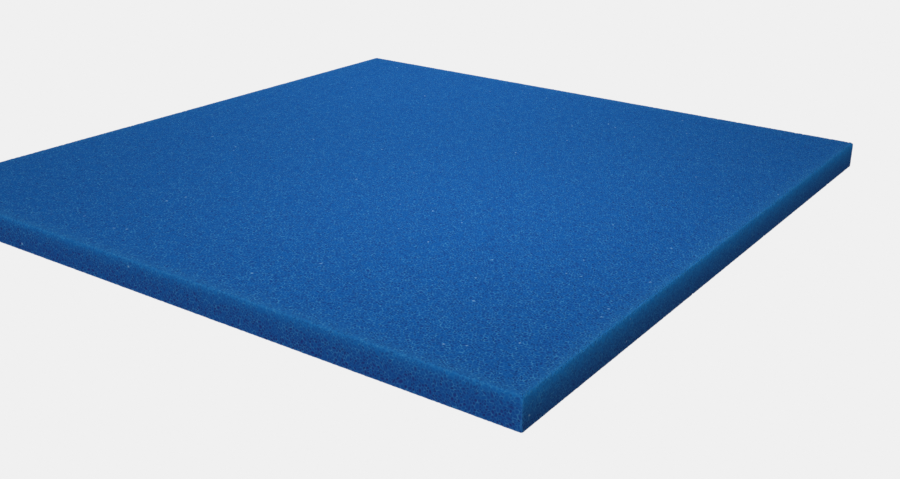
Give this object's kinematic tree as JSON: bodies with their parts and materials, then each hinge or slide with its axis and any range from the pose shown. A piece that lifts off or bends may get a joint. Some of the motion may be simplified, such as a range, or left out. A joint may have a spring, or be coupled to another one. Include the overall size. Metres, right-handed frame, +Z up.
{
  "type": "filter foam mat",
  "caption": "Flat square mat of coarse blue open-cell foam, laid in a pond filter or aquarium sump so that water passes through it.",
  "frame": {"origin": "middle of the mat's lower face", "axes": "+X and +Y along the cut edges, +Z up through the thickness"},
  "size_m": [0.5, 0.5, 0.02],
  "materials": {
    "filter_foam": "matte"
  },
  "bodies": {
    "root": {"foam_mat": "filter_foam"}
  },
  "joints": []
}
